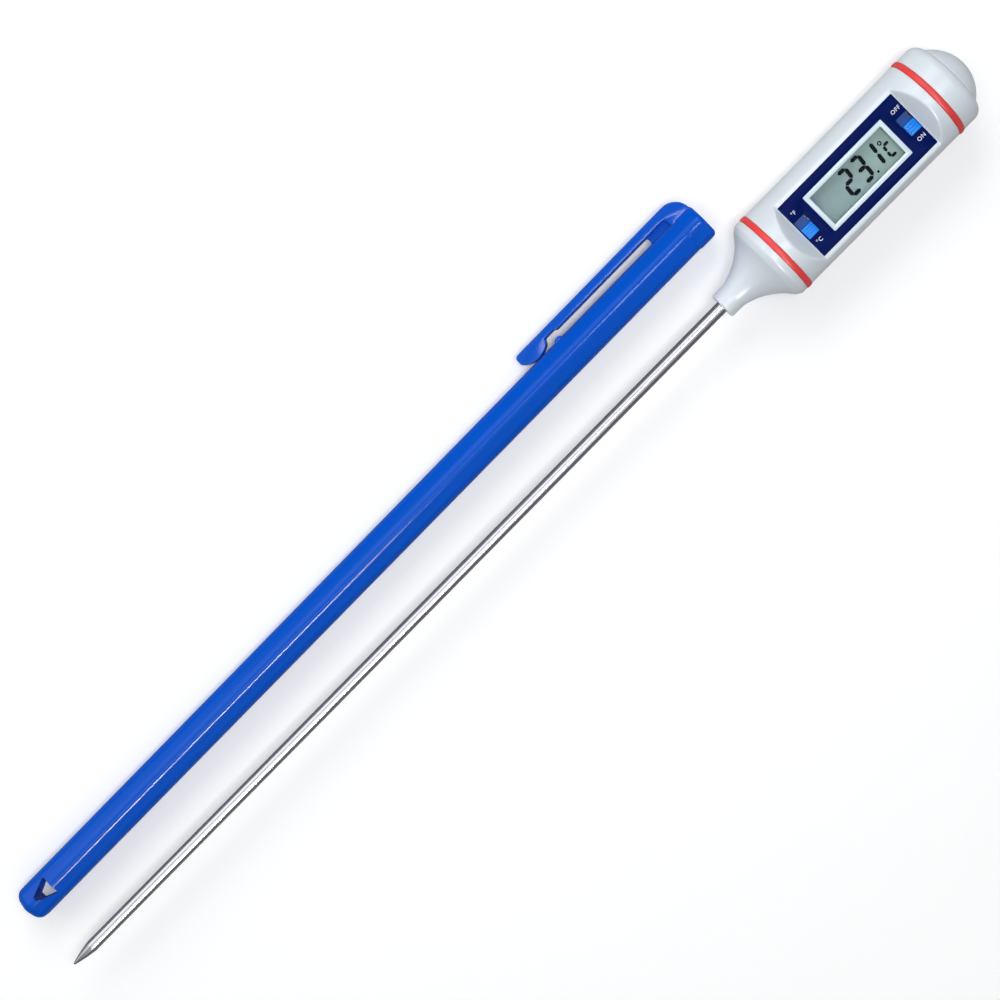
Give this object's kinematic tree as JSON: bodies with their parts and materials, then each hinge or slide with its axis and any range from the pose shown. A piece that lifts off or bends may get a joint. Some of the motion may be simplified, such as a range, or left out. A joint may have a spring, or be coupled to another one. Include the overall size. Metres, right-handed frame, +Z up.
{
  "type": "soil thermometer probe",
  "caption": "Digital stem thermometer with a round handle, flat display, two slide switches and a screw cap, beside its six-sided pocket sheath with clip.",
  "frame": {"origin": "on the stem's axis, at the front face of the handle's neck where the stem leaves it", "axes": "+X along the stem's axis towards the battery cap, +Y towards the sheath that lies beside it, +Z up out of the display"},
  "size_m": [0.2754, 0.034, 0.0206],
  "materials": {
    "white_plastic": "satin moulded, cool white",
    "blue_plastic": "glossy moulded, deep blue",
    "red_rubber": "smooth silicone, coral red",
    "navy_print": "printed, deep navy",
    "window_plastic": "satin pale white",
    "clear_lens": "clear polished",
    "display_glass": "clear glass",
    "display_grey": "grey-green reflective film",
    "segment_ink": "near black",
    "switch_blue": "bright azure, satin",
    "stainless": "polished drawn stainless tube",
    "brass": "turned",
    "nickel": "nickel plated",
    "cell_steel": "brushed nickel plated steel",
    "gilt": "gold flash",
    "board_green": "solder mask",
    "holder_plastic": "natural moulded",
    "zebra_rubber": "layered silicone",
    "black_epoxy": "cast epoxy",
    "potting": "filled thermal epoxy",
    "lead_enamel": "enamelled copper",
    "resistor_body": "ceramic and glaze"
  },
  "bodies": {
    "thermometer": {"stem_tube": "stainless", "stem_ferrule": "brass", "thermistor_bead": "black_epoxy", "thermistor_leads": "lead_enamel", "tip_potting": "potting", "nose_cone": "white_plastic", "front_seal_ring": "red_rubber", "body_tube": "white_plastic", "face_panel": "navy_print", "window_frame": "window_plastic", "window_lens": "clear_lens", "lcd_glass": "display_glass", "lcd_segments": "segment_ink", "lcd_backing": "display_grey", "lcd_holder": "holder_plastic", "contact_strips": "zebra_rubber", "circuit_board": "board_green", "board_screws": "nickel", "chip_cover": "black_epoxy", "quartz_crystal": "nickel", "chip_resistors": "resistor_body", "power_switch_case": "nickel", "unit_switch_case": "nickel", "cell_plate": "nickel", "ground_strip": "gilt", "button_cell": "cell_steel"},
    "power_knob": {"power_switch_knob": "switch_blue"},
    "unit_knob": {"unit_switch_knob": "switch_blue"},
    "cap_seal": {"rear_seal_ring": "red_rubber"},
    "cap": {"battery_cap": "white_plastic", "cap_spring": "nickel"},
    "sheath": {"sheath_tube": "blue_plastic"},
    "clip": {"pocket_clip": "blue_plastic"}
  },
  "joints": [
    {"name": "power_switch", "type": "slide", "parent": "thermometer", "child": "power_knob", "axis": [0, 1, 0], "range_m": [0, 0.002]},
    {"name": "unit_switch", "type": "slide", "parent": "thermometer", "child": "unit_knob", "axis": [0, 1, 0], "range_m": [0, 0.002]},
    {"name": "cap_lift", "type": "slide", "parent": "thermometer", "child": "cap_seal", "axis": [1, 0, 0], "range_m": [0, 0.0038]},
    {"name": "cap_turn", "type": "hinge", "parent": "cap_seal", "child": "cap", "pos_m": [0.066, 0, 0], "axis": [-1, 0, 0], "range_deg": [0, 900]},
    {"name": "sheath_pull", "type": "slide", "parent": "thermometer", "child": "sheath", "axis": [-1, 0, 0], "range_m": [0, 0.215]},
    {"name": "clip_flex", "type": "hinge", "parent": "sheath", "child": "clip", "pos_m": [-0.0031, 0.02222, -0.00683], "axis": [0, -0.1736, -0.9848], "range_deg": [0, 4], "stiffness_Nm_per_rad": 2}
  ],
  "couplings": [
    {"joint": "cap_lift", "follows": "cap_turn", "m_per_rad": 0.00023873}
  ]
}
